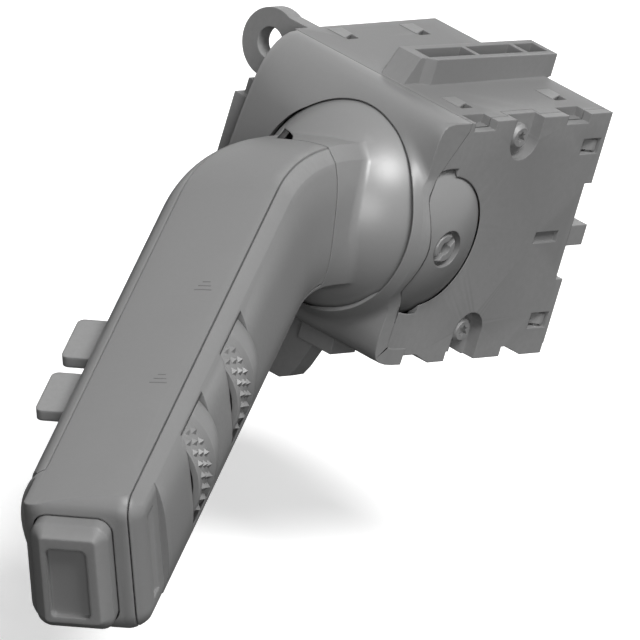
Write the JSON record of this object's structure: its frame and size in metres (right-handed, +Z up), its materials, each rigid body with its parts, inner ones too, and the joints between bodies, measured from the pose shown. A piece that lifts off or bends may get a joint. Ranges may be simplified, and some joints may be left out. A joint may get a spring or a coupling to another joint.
{
  "type": "combination stalk switch",
  "caption": "Steering column stalk switch: ball-jointed lever with thumb wheels, side keys and end button on a box housing with mounting ear and rear connector.",
  "frame": {"origin": "centre of the mounting ear's bore, on the ear's front face", "axes": "-Y is the way the front cover faces and the way the ear's bolt leaves; +Z is up, through the housing's top face; +X is out of the open side wall"},
  "size_m": [0.1199, 0.2121, 0.0885],
  "materials": {
    "housing_grey": "fine moulded grain",
    "shell_grey": "fine moulded grain",
    "control_grey": "smooth satin",
    "natural_nylon": "natural moulded",
    "steel": "ground",
    "contact_brass": "tinned",
    "black_plastic": "moulded",
    "board_green": "solder mask"
  },
  "bodies": {
    "housing": {"main_housing": "housing_grey", "front_cover": "housing_grey", "side_cover": "housing_grey", "side_screws": "steel", "rear_cover": "housing_grey", "circuit_board": "board_green", "position_sensor": "black_plastic", "connector_shell": "black_plastic", "connector_pins": "contact_brass", "detent_block": "natural_nylon", "gimbal_pins": "steel"},
    "yoke": {"gimbal_yoke": "natural_nylon"},
    "lever": {"ball_dome": "shell_grey", "lever_arm": "natural_nylon", "upper_shell": "shell_grey", "side_panel": "shell_grey", "left_trim": "shell_grey", "lower_shell": "shell_grey", "stalk_chassis": "natural_nylon", "wheel_axles": "steel", "lever_board": "board_green", "board_screws": "steel", "tip_switch": "black_plastic", "key_switch_1": "black_plastic", "key_switch_2": "black_plastic", "detent_spring": "steel"},
    "wheel_1": {"thumb_wheel_1": "control_grey"},
    "wheel_2": {"thumb_wheel_2": "control_grey"},
    "key_1": {"side_key_1": "control_grey"},
    "key_2": {"side_key_2": "control_grey"},
    "tip_button": {"end_button": "control_grey"},
    "plunger": {"detent_plunger": "natural_nylon"}
  },
  "joints": [
    {"name": "flash_pull", "type": "hinge", "parent": "housing", "child": "yoke", "pos_m": [0.0386, -0.006, -0.0191], "axis": [0, 0, 1], "range_deg": [-5, 5], "stiffness_Nm_per_rad": 6},
    {"name": "indicator", "type": "hinge", "parent": "yoke", "child": "lever", "pos_m": [0.0386, -0.006, -0.0191], "axis": [1, 0, 0], "range_deg": [-7, 7]},
    {"name": "key_1_press", "type": "slide", "parent": "lever", "child": "key_1", "axis": [0.0934, 0.4028, -0.9105], "range_m": [0, 0.001], "stiffness_N_per_m": 900},
    {"name": "key_2_press", "type": "slide", "parent": "lever", "child": "key_2", "axis": [0.0934, 0.4028, -0.9105], "range_m": [0, 0.001], "stiffness_N_per_m": 900},
    {"name": "tip_press", "type": "slide", "parent": "lever", "child": "tip_button", "axis": [-0.481, 0.819, 0.313], "range_m": [0, 0.002], "stiffness_N_per_m": 1200},
    {"name": "plunger_slide", "type": "slide", "parent": "lever", "child": "plunger", "axis": [0, -1, 0], "range_m": [0, 0.002], "stiffness_N_per_m": 900},
    {"name": "wheel_1_turn", "type": "hinge", "parent": "lever", "child": "wheel_1", "pos_m": [0.06885, -0.09243, -0.03827], "axis": [0.481, -0.819, -0.313], "range_deg": [-8, 8], "stiffness_Nm_per_rad": 0.35},
    {"name": "wheel_2_turn", "type": "hinge", "parent": "lever", "child": "wheel_2", "pos_m": [0.08366, -0.11765, -0.04791], "axis": [0.481, -0.819, -0.313], "range_deg": [-8, 8], "stiffness_Nm_per_rad": 0.35}
  ]
}
